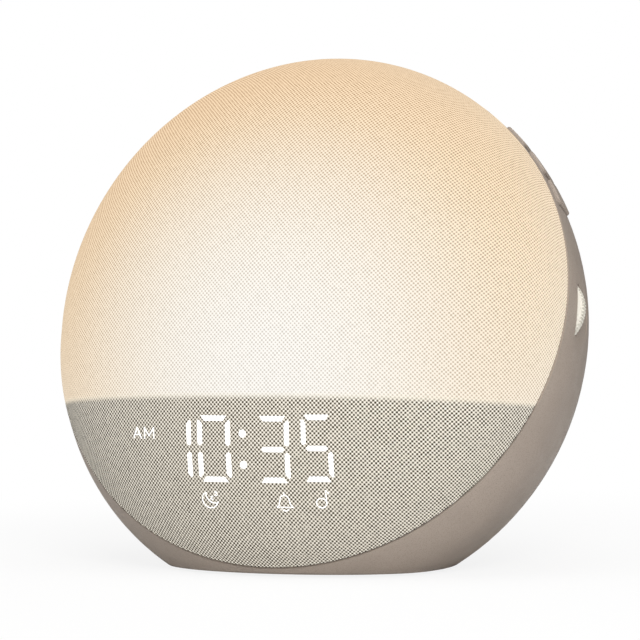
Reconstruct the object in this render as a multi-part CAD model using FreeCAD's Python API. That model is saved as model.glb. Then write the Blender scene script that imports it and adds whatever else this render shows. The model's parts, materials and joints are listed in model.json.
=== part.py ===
"""Sunrise alarm clock: a leaning round body with a fabric-covered light dome.

Millimetres, +Z up, front towards -Y. The origin lies on the table, at the
middle of the foot, straight below the centre of the body's widest section.
"""
import FreeCAD
import Part
import math
import os

from FreeCAD import Placement, Rotation, Vector

# Body form
BODY_RADIUS = 96.0          # radius of the widest section
FACE_DEPTH = 47.0           # widest section to the crown of the dome
CROWN_FLAT = 1.0            # radius of the level spot at the crown
SIDE_CURVE = 82.0           # axial semi-axis of the side's curve
SIDE_END = 34.0             # axial place where the side turns into the back
BACK_DEPTH = 47.0           # widest section to the flat back
BODY_LEAN = 13.4            # body axis above level, degrees
SEAM_LEAN = 22.1            # seam normal above level, degrees
SEAM_OFFSET = 8.0           # seam plane in front of the body's centre
CENTRE_HEIGHT = 81.6        # body centre above the table

# Walls, skins, gaps
WALL = 2.8                  # casing wall
DOME_WALL = 2.0             # diffuser and display panel
FABRIC = 0.8                # fabric thickness
HEM_WIDTH = 4.2             # fabric turned in behind the dome
SEAM_GAP = 0.5              # shadow line between fabric and casing
SEAM_SETBACK = 0.6          # chassis lip below the surface in that line
SKIN_GAP = 0.05             # bonded skins and clamped faces
SEAT_GAP = 0.2              # drop-in seats
EASE = 0.25                 # sliding clearance round a button
LIFT = 0.3                  # clear air above a moving flange
SCREW_EASE = 0.05           # radial play of a screw in its hole

# Foot
BASE_GAP = 0.8              # casing above the table
BASE_EDGE = 1.4             # rounding where the side meets the underside
FOOT_LENGTH = 84.0          # along X
FOOT_WIDTH = 60.0           # along Y
FOOT_THICK = 1.8
FLOOR_WALL = 3.4

# Chassis
WEB_FRONT = 6.0             # seam-frame height of the web's front face
WEB_THICK = 2.5
RIM_INSET = 12.5            # plain rim band of the chassis, from the surface
BOSS_RADIUS = 3.4
SCREW_RADIUS = 1.5
HEAD_RADIUS = 2.8
HEAD_HEIGHT = 1.8
DOME_LUG_RADIUS = 5.8
DOME_LUG_HEIGHT = 8.0
DOME_LUG_INSET = 8.6
DOME_LUG_ANGLES = (19.0, 90.0, 161.0, 216.0, 270.0, 324.0)
SHELL_POST_RADIUS = 5.2
SHELL_POST_WALL = 1.6
SHELL_POSTS = ((44.0, 44.0), (-44.0, 44.0), (60.5, -40.0), (-60.5, -40.0))
SHELL_SCREW_LENGTH = 10.0

# Light chamber
BAFFLE_THICK = 1.6
BAFFLE_HEIGHT = 61.3        # above the table, at the dome's front
BAFFLE_REACH = 49.2         # in front of the centre, where that height holds
BAFFLE_SLOPE = 8.0          # falls towards the back, degrees
TRAY_WALL = 1.5
TRAY_RIM = 9.0
TRAY_GAP = 1.3              # tray above the light board
LED_BOARD = (112.0, 46.0)
LED_BOARD_Y = -3.0          # seam-frame place of the board's middle
BOARD_THICK = 1.6
LED_SIZE = 5.0
LED_HEIGHT = 1.6
LED_WINDOW = 7.0
LED_COLUMNS = 6
LED_ROWS = 4
LED_PITCH_X = 16.5
LED_PITCH_Y = 10.0

# Display
DISPLAY_X = -3.6            # middle of the colon
DISPLAY_Z = 43.5            # middle of the digits above the table
DIGIT_WIDTH = 12.0
DIGIT_HEIGHT = 22.2
DIGIT_PITCH = 15.2
COLON_PITCH = 20.9          # between the digits on both sides of the colon
BAR_WIDTH = 1.75
BAR_GAP = 0.5
COLON_RADIUS = 1.35
COLON_RISE = 5.2
ICON_DROP = 17.1            # icon row below the digits' middle
ICON_PITCH = 13.8
ICON_COUNT = 5
ICON_RADIUS = 4.0
MARK_X = -39.8              # day-half mark, from the colon
MARK_RISE = 4.8
MARK_SIZE = (11.0, 5.4)
BLOCK_LEFT = 52.0           # light block, from the colon
BLOCK_RIGHT = 40.0
BLOCK_TOP = 13.0
BLOCK_BOTTOM = 21.6
BLOCK_SCREW = (34.6, 13.4)  # lower screws, beside the outermost icons
BLOCK_BACK = 33.0           # its back face in front of the centre
BLOCK_SIDE = 3.0

# Board and bay
MAIN_BOARD = (76.0, 54.0)
MAIN_BOARD_Y = 12.0
MAIN_BOARD_DROP = 8.0       # web's back face to the board
CAN_SIZE = (25.0, 18.0, 3.2)
CELL_RADIUS = 10.0
CELL_THICK = 3.2
CAPACITOR_RADIUS = 4.0
CAPACITOR_HEIGHT = 11.0
SOCKET_SIZE = (8.0, 5.0, 5.5)

# Speaker
SPEAKER_RADIUS = 26.0
SPEAKER_Y = 8.0             # above the body axis, on the back
SPEAKER_SEAT = 2.0
GASKET_THICK = 1.0
FLANGE_THICK = 1.5
BASKET_DEPTH = 11.0
CONE_RADIUS = 20.0
DUST_CAP_RADIUS = 6.0
MAGNET_RADIUS = 15.0
MAGNET_DEPTH = 9.0
GRILLE_RADIUS = 19.0
GRILLE_SLOT = 1.8
GRILLE_PITCH = 3.8

# Power inlet
INLET_Y = -50.0             # below the body axis, on the back
PLUG_RECESS = (14.0, 8.0)
SOCKET_OUTER = (9.4, 3.6)
SOCKET_INNER = (8.6, 2.8)
SOCKET_DEPTH = 7.5
TONGUE = (6.6, 0.7, 5.0)
INLET_BOARD = (22.0, 16.0)

# Buttons
BUTTON_ANGLES = (45.6, 37.7, 29.8)
BUTTON_LENGTH = 10.4        # round the casing
BUTTON_WIDTH = 12.0         # away from the seam
BUTTON_START = 3.5          # behind the seam
BUTTON_RISE = 1.1
BUTTON_SLOPE = 0.8          # inward run of its end walls over the rise
BUTTON_CORNER = 1.6
BUTTON_TRAVEL = 0.6
FLANGE_OVERLAP = 0.9
FLANGE_WALL = 1.2
STEM_RADIUS = 1.7
STEM_LENGTH = 2.0
SWITCH_SIZE = 6.0
SWITCH_HEIGHT = 3.4
PLUNGER_RADIUS = 1.5
PLUNGER_RISE = 0.9
PLUNGER_SUNK = 0.9
FLEX_THICK = 0.4
BRACKET_WALL = 2.0

# Dial
DIAL_ANGLE = 4.2
DIAL_START = 7.1            # slot's front edge behind the seam
DIAL_SLOT = 4.0
DIAL_RADIUS = 13.5
DIAL_THICK = 3.4
DIAL_RISE = 1.9             # rim above the casing's surface
DIAL_TEETH = 72
DIAL_TOOTH = 0.35
DIAL_SLOT_EASE = 0.5
DIAL_HUB_RADIUS = 4.0
DIAL_SHAFT_RADIUS = 2.0
SHAFT_EASE = 0.05
SCOOP_RADIUS = 100.0
SCOOP_DEPTH = 1.6
SCOOP_WIDTH = 14.0
BACKING_WALL = 1.8          # casing thickened round the slot
ENCODER_SIZE = 11.0
ENCODER_HEIGHT = 5.5

# Leads
LEAD_RADIUS = 0.9
LEAD_BEND = 4.0

# Frames
CENTRE = Vector(0, 0, CENTRE_HEIGHT)
TABLE = Placement()
BODY = Placement(CENTRE, Rotation(Vector(1, 0, 0), 90 - BODY_LEAN))
SEAM = Placement(CENTRE, Rotation(Vector(1, 0, 0), 90 - SEAM_LEAN))
DISPLAY = Placement(Vector(DISPLAY_X, 0, DISPLAY_Z), Rotation(Vector(1, 0, 0), 90))
BAFFLE = Placement(
    Vector(0, -BAFFLE_REACH, BAFFLE_HEIGHT), Rotation(Vector(1, 0, 0), -BAFFLE_SLOPE)
)
FAR = 300.0
PARTS = {}

WEB_BACK = WEB_FRONT - WEB_THICK
HEM_FRONT = SEAM_OFFSET + FABRIC
DOME_START = HEM_FRONT + SKIN_GAP
CASING_END = SEAM_OFFSET - SEAM_GAP
DOME_OUT = FABRIC + SKIN_GAP
DOME_IN = DOME_OUT + DOME_WALL


def box(frame, x0, x1, y0, y1, z0, z1):
    solid = Part.makeBox(x1 - x0, y1 - y0, z1 - z0, Vector(x0, y0, z0))
    solid.Placement = frame
    return solid


def block(frame, x, y, width, height, z0, z1):
    return box(frame, x - width / 2, x + width / 2, y - height / 2, y + height / 2, z0, z1)


def slab(frame, z0, z1):
    return box(frame, -FAR, FAR, -FAR, FAR, z0, z1)


def cylinder(frame, x, y, z0, z1, radius):
    solid = Part.makeCylinder(radius, z1 - z0, Vector(x, y, z0))
    solid.Placement = frame
    return solid


def cone(frame, x, y, z0, z1, radius0, radius1):
    solid = Part.makeCone(radius0, radius1, z1 - z0, Vector(x, y, z0))
    solid.Placement = frame
    return solid


def rounded_outline(width, height, radius, z):
    """Closed wire of a rectangle with round corners, about the origin."""
    across = width / 2 - radius
    along = height / 2 - radius
    corners = ((across, along, 0), (-across, along, 90), (-across, -along, 180), (across, -along, 270))
    edges = []
    last = None
    first = None
    for x, y, start in corners:
        points = []
        for angle in (start, start + 45, start + 90):
            turn = math.radians(angle)
            points.append(Vector(x + radius * math.cos(turn), y + radius * math.sin(turn), z))
        if last is not None:
            edges.append(Part.makeLine(last, points[0]))
        else:
            first = points[0]
        edges.append(Part.Arc(points[0], points[1], points[2]).toShape())
        last = points[2]
    edges.append(Part.makeLine(last, first))
    return Part.Wire(edges)


def rounded_block(frame, x, y, width, height, radius, z0, z1):
    face = Part.Face(rounded_outline(width, height, radius, z0))
    face.translate(Vector(x, y, 0))
    solid = face.extrude(Vector(0, 0, z1 - z0))
    solid.Placement = frame
    return solid


def prism(frame, points, z0, z1):
    wire = Part.makePolygon([Vector(x, y, z0) for x, y in points + points[:1]])
    solid = Part.Face(wire).extrude(Vector(0, 0, z1 - z0))
    solid.Placement = frame
    return solid


def union(first, *others):
    return first.fuse(list(others)).removeSplitter() if others else first


def group(solids):
    return Part.makeCompound(list(solids))


def body(inset):
    """The whole round form, its surface moved inward by inset."""
    radius = BODY_RADIUS - inset
    front = FACE_DEPTH - inset
    side = SIDE_CURVE - inset
    back = BACK_DEPTH - inset
    turn = math.asin(SIDE_END / side)
    side_radius = radius * math.cos(turn)
    slope = math.atan2(radius * math.sin(turn), side * math.cos(turn))
    corner = (back - SIDE_END) / (1 - math.sin(slope))
    flat = side_radius - corner * math.cos(slope)
    middle = (slope - math.pi / 2) / 2

    def point(reach, depth):
        return Vector(0, reach, depth)

    crown = math.acos(CROWN_FLAT / radius)
    crown_depth = front * math.sin(crown)
    dome = Part.Ellipse(point(radius, 0), point(0, front), Vector())
    flank = Part.Ellipse(point(radius, 0), point(0, -side), Vector())
    corner_middle = point(
        flat + corner * math.cos(-math.pi / 4 - slope / 2),
        corner - back + corner * math.sin(-math.pi / 4 - slope / 2),
    )
    edges = [
        Part.ArcOfEllipse(dome, 0, crown).toShape(),
        Part.ArcOfEllipse(flank, 0, turn).toShape(),
        Part.Arc(point(side_radius, -SIDE_END), corner_middle, point(flat, -back)).toShape(),
        Part.makeLine(point(flat, -back), point(0, -back)),
        Part.makeLine(point(0, -back), point(0, crown_depth)),
        Part.makeLine(point(0, crown_depth), point(CROWN_FLAT, crown_depth)),
    ]
    face = Part.Face(Part.Wire(Part.__sortEdges__(edges)))
    solid = face.revolve(Vector(), Vector(0, 0, 1), 360)
    solid.Placement = BODY
    return solid


def skin(outer, inner):
    return body(outer).cut(body(inner))


def section(inset):
    """Half width, half height and middle of the body's cut at the seam plane."""
    radius = BODY_RADIUS - inset
    front = FACE_DEPTH - inset
    tilt = math.radians(SEAM_LEAN - BODY_LEAN)
    normal = (front * math.cos(tilt)) ** 2 + (radius * math.sin(tilt)) ** 2
    shrink = math.sqrt(1 - SEAM_OFFSET ** 2 / normal)
    half_height = radius * front / math.sqrt(normal) * shrink
    middle = SEAM_OFFSET * (radius ** 2 - front ** 2) * math.sin(tilt) * math.cos(tilt) / normal
    return radius * shrink, half_height, middle


def rim_place(angle, inset):
    half_width, half_height, middle = section(inset)
    turn = math.radians(angle)
    return half_width * math.cos(turn), middle + half_height * math.sin(turn)


def rim_prism(inset, z0, z1):
    """Elliptic prism that follows the seam at an inset."""
    half_width, half_height, middle = section(inset)
    curve = Part.Ellipse(Vector(0, middle, z0), half_width, half_height)
    solid = Part.Face(Part.Wire(curve.toShape())).extrude(Vector(0, 0, z1 - z0))
    solid.Placement = SEAM
    return solid


def side_radius(angle, height):
    """Distance from the seam axis to the casing's side, at a seam-frame height."""
    tilt = math.radians(SEAM_LEAN - BODY_LEAN)
    turn = math.radians(angle)
    up = math.sin(turn)
    along = math.cos(tilt)
    across = math.sin(tilt)
    square = 1 / BODY_RADIUS ** 2
    depth = 1 / SIDE_CURVE ** 2
    first = (math.cos(turn) ** 2 + (up * along) ** 2) * square + (up * across) ** 2 * depth
    second = up * along * height * across * (square - depth)
    third = (height * across) ** 2 * square + (height * along) ** 2 * depth - 1
    return (math.sqrt(second ** 2 - first * third) - second) / first


def side_frame(angle, height):
    """Frame on the casing's side: X round the casing, Y along the seam axis, Z out."""
    turn = math.radians(angle)
    reach = side_radius(angle, height)
    place = SEAM.multVec(Vector(reach * math.cos(turn), reach * math.sin(turn), height))
    local = BODY.inverse().multVec(place)
    steep = Vector(
        local.x / BODY_RADIUS ** 2, local.y / BODY_RADIUS ** 2, local.z / SIDE_CURVE ** 2
    )
    out = BODY.Rotation.multVec(steep.normalize())
    axis = SEAM.Rotation.multVec(Vector(0, 0, 1))
    round_way = axis.cross(out).normalize()
    return Placement(place, Rotation(round_way, out.cross(round_way), out, "ZXY"))


def screw(frame, x, y, seat, length, up=1.0, radius=SCREW_RADIUS):
    """Pan-head screw: head outside its seat, shank running the way up says."""
    head_far = seat - up * HEAD_HEIGHT
    tip = seat + up * length
    head = cylinder(frame, x, y, min(seat, head_far), max(seat, head_far), HEAD_RADIUS)
    shank = cylinder(frame, x, y, min(seat, tip), max(seat, tip), radius)
    slot_low = min(head_far, head_far + up * HEAD_HEIGHT / 2)
    slot_high = max(head_far, head_far + up * HEAD_HEIGHT / 2)
    slot = block(frame, x, y, HEAD_RADIUS * 1.3, 0.7, slot_low, slot_high)
    cross = block(frame, x, y, 0.7, HEAD_RADIUS * 1.3, slot_low, slot_high)
    return head.fuse(shank).cut(slot.fuse(cross))


def screw_hole(frame, x, y, z0, z1, radius=SCREW_RADIUS):
    return cylinder(frame, x, y, z0, z1, radius + SCREW_EASE)


def lead(points, radius=LEAD_RADIUS, bend=LEAD_BEND):
    """Round lead along straight runs joined by tangent arcs."""
    edges = []
    start = points[0]
    for here, corner, there in zip(points, points[1:], points[2:]):
        back = (here - corner).normalize()
        ahead = (there - corner).normalize()
        half = back.getAngle(ahead) / 2
        setback = bend / math.tan(half)
        enter = corner + back * setback
        leave = corner + ahead * setback
        inward = (back + ahead).normalize()
        middle = corner + inward * (bend / math.sin(half) - bend)
        edges.append(Part.makeLine(start, enter))
        edges.append(Part.Arc(enter, middle, leave).toShape())
        start = leave
    edges.append(Part.makeLine(start, points[-1]))
    way = Part.Wire(edges)
    run = points[1] - points[0]
    ring = Part.Wire(Part.makeCircle(radius, points[0], run))
    return way.makePipeShell([ring], True, False)


def at(frame, x, y, z):
    return frame.multVec(Vector(x, y, z))


# Front
def front_side(start=DOME_START):
    return slab(SEAM, start, FAR)


def lug_places():
    return [rim_place(angle, DOME_LUG_INSET) for angle in DOME_LUG_ANGLES]


def dome_lugs(upper):
    lugs = []
    limit = body(DOME_OUT + DOME_WALL / 2)
    for x, y in lug_places():
        if (y > 0) == upper:
            lug = cylinder(SEAM, x, y, DOME_START, DOME_START + DOME_LUG_HEIGHT, DOME_LUG_RADIUS)
            hole = screw_hole(SEAM, x, y, DOME_START - 1, DOME_START + DOME_LUG_HEIGHT - 1.5)
            lugs.append(lug.common(limit).cut(hole))
    return lugs


def dome_half(upper):
    """Shell of the dome above or below the baffle, with its screw lugs."""
    shell = skin(DOME_OUT, DOME_IN).common(front_side())
    side = BAFFLE_THICK / 2 + SKIN_GAP
    half = slab(BAFFLE, side, FAR) if upper else slab(BAFFLE, -FAR, -side)
    return union(shell.common(half), *dome_lugs(upper))


def digit_bars():
    """Outlines of the seven bars of one digit, about its middle."""
    across = (DIGIT_WIDTH - BAR_WIDTH) / 2
    rise = (DIGIT_HEIGHT - BAR_WIDTH) / 2
    tip = BAR_WIDTH / 2
    wide = across - BAR_GAP / 2
    tall = rise / 2 - BAR_GAP / 2
    bars = []
    for y in (rise, 0, -rise):
        bars.append([
            (-wide, y), (tip - wide, y + tip), (wide - tip, y + tip),
            (wide, y), (wide - tip, y - tip), (tip - wide, y - tip),
        ])
    for x in (-across, across):
        for y in (-rise / 2, rise / 2):
            bars.append([
                (x, y - tall), (x + tip, y + tip - tall), (x + tip, y + tall - tip),
                (x, y + tall), (x - tip, y + tall - tip), (x - tip, y + tip - tall),
            ])
    return bars


def digit_places():
    inner = COLON_PITCH / 2
    return (-inner - DIGIT_PITCH, -inner, inner, inner + DIGIT_PITCH)


def digit_prisms(z0, z1):
    solids = []
    for place in digit_places():
        for bar in digit_bars():
            moved = [(x + place, y) for x, y in bar]
            solids.append(prism(DISPLAY, moved, z0, z1))
    for y in (-COLON_RISE, COLON_RISE):
        solids.append(cylinder(DISPLAY, 0, y, z0, z1, COLON_RADIUS))
    return solids


def icon_prisms(z0, z1):
    width, height = MARK_SIZE
    solids = [rounded_block(DISPLAY, MARK_X, MARK_RISE, width, height, 1.0, z0, z1)]
    for number in range(ICON_COUNT):
        x = (number - (ICON_COUNT - 1) / 2) * ICON_PITCH
        solids.append(cylinder(DISPLAY, x, -ICON_DROP, z0, z1, ICON_RADIUS))
    return solids


def window_prisms(z0, z1):
    return digit_prisms(z0, z1) + icon_prisms(z0, z1)


def make_front():
    cover = body(0).common(front_side(SEAM_OFFSET))
    inside = body(FABRIC).common(front_side(HEM_FRONT))
    PARTS["fabric_cover"] = cover.cut(inside).cut(body(FABRIC + HEM_WIDTH))
    PARTS["light_diffuser"] = dome_half(True)
    near = BLOCK_BACK
    panel = dome_half(False)
    windows = window_prisms(near, FAR)
    PARTS["display_panel"] = panel.cut(windows)
    layer = skin(DOME_OUT, DOME_IN)
    PARTS["digit_lenses"] = group(p.common(layer) for p in digit_prisms(near, FAR))
    PARTS["icon_lenses"] = group(p.common(layer) for p in icon_prisms(near, FAR))
    plate = slab(BAFFLE, -BAFFLE_THICK / 2, BAFFLE_THICK / 2)
    outer = plate.common(body(DOME_OUT)).common(front_side())
    inner = plate.common(rim_prism(RIM_INSET + SEAT_GAP, WEB_FRONT, DOME_START))
    PARTS["light_baffle"] = outer.fuse(inner).removeSplitter()


# Display
def block_box(z0, z1, inset=0.0):
    return box(
        DISPLAY,
        inset - BLOCK_LEFT, BLOCK_RIGHT - inset,
        inset - BLOCK_BOTTOM, BLOCK_TOP - inset,
        z0, z1,
    )


BOARD_FRONT = BLOCK_BACK
BOARD_BACK = BLOCK_BACK - BOARD_THICK
BLOCK_SCREWS = (
    (4.0 - BLOCK_LEFT, BLOCK_TOP - 4.0), (BLOCK_RIGHT - 4.0, BLOCK_TOP - 4.0),
    (-BLOCK_SCREW[0], -BLOCK_SCREW[1]), (BLOCK_SCREW[0], -BLOCK_SCREW[1]),
)


def make_display():
    limit = body(DOME_IN + SKIN_GAP).common(
        slab(BAFFLE, -FAR, -BAFFLE_THICK / 2 - SEAT_GAP)
    ).common(rim_prism(RIM_INSET + SEAT_GAP, WEB_FRONT, FAR))
    core = block_box(BOARD_FRONT, FAR).common(limit)
    core = core.cut(window_prisms(BOARD_FRONT, FAR))
    left = box(
        DISPLAY, -BLOCK_LEFT - BLOCK_SIDE, -BLOCK_LEFT, -BLOCK_BOTTOM, BLOCK_TOP, 0, FAR
    )
    right = box(
        DISPLAY, BLOCK_RIGHT, BLOCK_RIGHT + BLOCK_SIDE, -BLOCK_BOTTOM, BLOCK_TOP, 0, FAR
    )
    sides = left.fuse(right).common(limit)
    holes = [screw_hole(DISPLAY, x, y, BOARD_BACK - 1, BOARD_FRONT + 5) for x, y in BLOCK_SCREWS]
    PARTS["display_light_block"] = union(core, sides).cut(holes)
    board = block_box(BOARD_BACK, BOARD_FRONT, SEAT_GAP).common(limit)
    PARTS["display_board"] = board.cut(holes)
    PARTS["display_board_screws"] = group(
        screw(DISPLAY, x, y, BOARD_BACK, 5.5) for x, y in BLOCK_SCREWS
    )
    chips = []
    for place in digit_places():
        for bar in digit_bars():
            x = place + sum(p[0] for p in bar) / len(bar)
            y = sum(p[1] for p in bar) / len(bar)
            chips.append(block(DISPLAY, x, y, 1.5, 1.5, BOARD_FRONT, BOARD_FRONT + 0.8))
    for y in (-COLON_RISE, COLON_RISE):
        chips.append(block(DISPLAY, 0, y, 1.5, 1.5, BOARD_FRONT, BOARD_FRONT + 0.8))
    for number in range(ICON_COUNT):
        x = (number - (ICON_COUNT - 1) / 2) * ICON_PITCH
        chips.append(block(DISPLAY, x, -ICON_DROP, 2.0, 1.5, BOARD_FRONT, BOARD_FRONT + 0.8))
    chips.append(block(DISPLAY, MARK_X, MARK_RISE, 2.0, 1.5, BOARD_FRONT, BOARD_FRONT + 0.8))
    PARTS["display_leds"] = group(chips)


# Light chamber
LED_BOARD_FRONT = WEB_FRONT + BOARD_THICK
TRAY_BACK = LED_BOARD_FRONT + TRAY_GAP
TRAY_FRONT = TRAY_BACK + TRAY_WALL


def corner_places(size, middle, inset=4.0):
    across = size[0] / 2 - inset
    along = size[1] / 2 - inset
    return [
        (across, middle + along), (-across, middle + along),
        (across, middle - along), (-across, middle - along),
    ]


LED_SCREWS = corner_places(LED_BOARD, LED_BOARD_Y)
MAIN_SCREWS = corner_places(MAIN_BOARD, MAIN_BOARD_Y)


def led_places():
    places = []
    for row in range(LED_ROWS):
        for column in range(LED_COLUMNS):
            x = (column - (LED_COLUMNS - 1) / 2) * LED_PITCH_X
            y = LED_BOARD_Y + (row - (LED_ROWS - 1) / 2) * LED_PITCH_Y
            places.append((x, y))
    return places


def make_light():
    x, y = LED_BOARD
    plate = block(SEAM, 0, LED_BOARD_Y, x, y, WEB_FRONT, LED_BOARD_FRONT)
    holes = [screw_hole(SEAM, a, b, WEB_FRONT - 1, LED_BOARD_FRONT + 1) for a, b in LED_SCREWS]
    PARTS["led_board"] = plate.cut(holes)
    PARTS["light_leds"] = group(
        block(SEAM, a, b, LED_SIZE, LED_SIZE, LED_BOARD_FRONT, LED_BOARD_FRONT + LED_HEIGHT)
        for a, b in led_places()
    )
    above = slab(BAFFLE, BAFFLE_THICK / 2 + SKIN_GAP, FAR)
    inside = body(DOME_IN + SEAT_GAP).common(above)
    floor = inside.common(slab(SEAM, TRAY_BACK, TRAY_FRONT))
    rim = inside.cut(body(DOME_IN + SEAT_GAP + TRAY_WALL)).common(
        slab(SEAM, TRAY_BACK, TRAY_BACK + TRAY_RIM)
    )
    windows = [
        block(SEAM, a, b, LED_WINDOW, LED_WINDOW, TRAY_BACK - 1, TRAY_FRONT + 1)
        for a, b in led_places()
    ]
    heads = [
        cylinder(SEAM, a, b, TRAY_BACK - 1, TRAY_FRONT + 1, HEAD_RADIUS + SEAT_GAP)
        for a, b in LED_SCREWS
    ]
    lugs = [
        cylinder(SEAM, a, b, TRAY_BACK - 1, DOME_START + DOME_LUG_HEIGHT + 1,
                 DOME_LUG_RADIUS + SEAT_GAP)
        for a, b in lug_places()
    ]
    feet = [cylinder(SEAM, a, b, WEB_FRONT, TRAY_BACK, BOSS_RADIUS) for a, b in TRAY_FEET]
    PARTS["reflector_tray"] = union(floor, rim, *feet).cut(windows + heads + lugs)
    PARTS["led_board_screws"] = group(
        screw(SEAM, a, b, LED_BOARD_FRONT, 4.0, -1.0) for a, b in LED_SCREWS
    )


# Chassis
TRAY_FEET = ((0.0, 62.0), (58.0, 30.0), (-58.0, 30.0))
LIP_INSET = SEAM_SETBACK
SPIGOT_INSET = WALL + SEAT_GAP
BOARD_FACE = WEB_BACK - MAIN_BOARD_DROP
POST_TIP = WEB_BACK
LINK_PLACE = (0.0, 12.0)      # plug that joins the light board to the main board
LINK_SIZE = (10.0, 5.0)
DISPLAY_LEAD_X = 12.0
DISPLAY_LEAD_Y = -34.0
CABLE_SLOTS = (
    (DISPLAY_LEAD_X, DISPLAY_LEAD_Y, 12.0, 9.0),
    (LINK_PLACE[0], LINK_PLACE[1], LINK_SIZE[0] + 4, LINK_SIZE[1] + 3),
)


def button_bay():
    """Room behind the three buttons, cut out of the chassis rim."""
    low = min(BUTTON_ANGLES) - 6.0
    high = max(BUTTON_ANGLES) + 6.0
    top = SEAM_OFFSET - BUTTON_START + FLANGE_OVERLAP + 2 * EASE
    reach = BODY_RADIUS + 20
    inner = side_radius(low, 0) - BUTTON_DEEP - 1.0
    corners = []
    for angle in (low, (low + high) / 2, high):
        turn = math.radians(angle)
        corners.append((reach * math.cos(turn), reach * math.sin(turn)))
    for angle in (high, (low + high) / 2, low):
        turn = math.radians(angle)
        corners.append((inner * math.cos(turn), inner * math.sin(turn)))
    return prism(SEAM, corners, WEB_BACK - 1, top)


def make_chassis():
    lip = body(LIP_INSET).common(slab(SEAM, CASING_END, SEAM_OFFSET))
    spigot = body(SPIGOT_INSET).common(slab(SEAM, WEB_BACK, CASING_END))
    plate = lip.fuse(spigot).removeSplitter()
    plate = plate.cut(rim_prism(RIM_INSET, WEB_FRONT, SEAM_OFFSET + 1))
    plate = plate.common(slab(TABLE, FLOOR_TOP + SEAT_GAP, FAR))
    bosses = [
        cylinder(SEAM, x, y, WEB_FRONT - 0.5, DOME_START - SKIN_GAP, BOSS_RADIUS)
        for x, y in lug_places()
    ]
    standoffs = [
        cylinder(SEAM, x, y, BOARD_FACE, WEB_BACK + 0.5, BOSS_RADIUS) for x, y in MAIN_SCREWS
    ]
    led_nuts = [
        cylinder(SEAM, x, y, WEB_BACK - 2.0, WEB_BACK + 0.5, BOSS_RADIUS) for x, y in LED_SCREWS
    ]
    bearing_x, bearing_y = dial_place()
    bearing = cylinder(SEAM, bearing_x, bearing_y, DIAL_TOP + 0.4, WEB_BACK + 0.5, DIAL_HUB_RADIUS)
    plate = union(plate, *(bosses + standoffs + led_nuts + [bearing]))
    holes = [screw_hole(SEAM, x, y, WEB_BACK - 1, DOME_START + 1) for x, y in lug_places()]
    holes += [screw_hole(SEAM, x, y, BOARD_FACE - 1, WEB_BACK + 1) for x, y in MAIN_SCREWS]
    holes += [screw_hole(SEAM, x, y, WEB_BACK - 1.5, WEB_FRONT + 1) for x, y in LED_SCREWS]
    holes += [screw_hole(SEAM, x, y, WEB_BACK - 1, WEB_FRONT + 1) for x, y in SHELL_POSTS]
    holes += [screw_hole(SEAM, x, y, WEB_BACK - 1, WEB_FRONT + 1) for x, y in bracket_fixings()]
    holes += [screw_hole(SEAM, x, y, WEB_BACK - 1, WEB_FRONT + 1) for x, y in dial_posts()]
    holes.append(
        cylinder(SEAM, bearing_x, bearing_y, DIAL_TOP - 1, WEB_BACK + 1.5,
                 DIAL_SHAFT_RADIUS + SHAFT_EASE)
    )
    slots = [
        rounded_block(SEAM, x, y, width, height, 2.0, WEB_BACK - 1, WEB_FRONT + 1)
        for x, y, width, height in CABLE_SLOTS
    ]
    PARTS["chassis"] = plate.cut(holes + slots + [button_bay()])
    PARTS["dome_screws"] = group(
        screw(SEAM, x, y, WEB_BACK, DOME_START - WEB_BACK + 5.0) for x, y in lug_places()
    )


# Dial
DIAL_MIDDLE = SEAM_OFFSET - DIAL_START - DIAL_SLOT / 2
DIAL_TOP = DIAL_MIDDLE + DIAL_THICK / 2
DIAL_BOTTOM = DIAL_MIDDLE - DIAL_THICK / 2
ENCODER_TOP = DIAL_BOTTOM - 1.2
ENCODER_BOTTOM = ENCODER_TOP - ENCODER_HEIGHT
DIAL_POST_REACH = DIAL_RADIUS + 6.5


def dial_place():
    turn = math.radians(DIAL_ANGLE)
    reach = side_radius(DIAL_ANGLE, DIAL_MIDDLE) + DIAL_RISE - DIAL_RADIUS
    return reach * math.cos(turn), reach * math.sin(turn)


def dial_posts():
    x, y = dial_place()
    return [(x - DIAL_POST_REACH, y + 9.0), (x - DIAL_POST_REACH, y - 9.0)]


def dial_cuts():
    """Slot for the wheel and the shallow scoop round it, both along the seam axis."""
    turn = math.radians(DIAL_ANGLE)
    reach = side_radius(DIAL_ANGLE, DIAL_MIDDLE)
    x, y = dial_place()
    slot_low = DIAL_MIDDLE - DIAL_SLOT / 2
    slot_high = DIAL_MIDDLE + DIAL_SLOT / 2
    slot = cylinder(SEAM, x, y, slot_low, slot_high, DIAL_RADIUS + DIAL_SLOT_EASE)
    centre = reach - SCOOP_DEPTH + SCOOP_RADIUS
    scoop = cylinder(
        SEAM, centre * math.cos(turn), centre * math.sin(turn),
        slot_high - SCOOP_WIDTH, slot_high, SCOOP_RADIUS,
    )
    backing = cylinder(
        SEAM, x, y, slot_low - BACKING_WALL, slot_high + BACKING_WALL,
        DIAL_RADIUS + DIAL_SLOT_EASE + 2 * BACKING_WALL,
    )
    return slot, scoop, backing.cut(body(WALL + BACKING_WALL))


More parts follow.
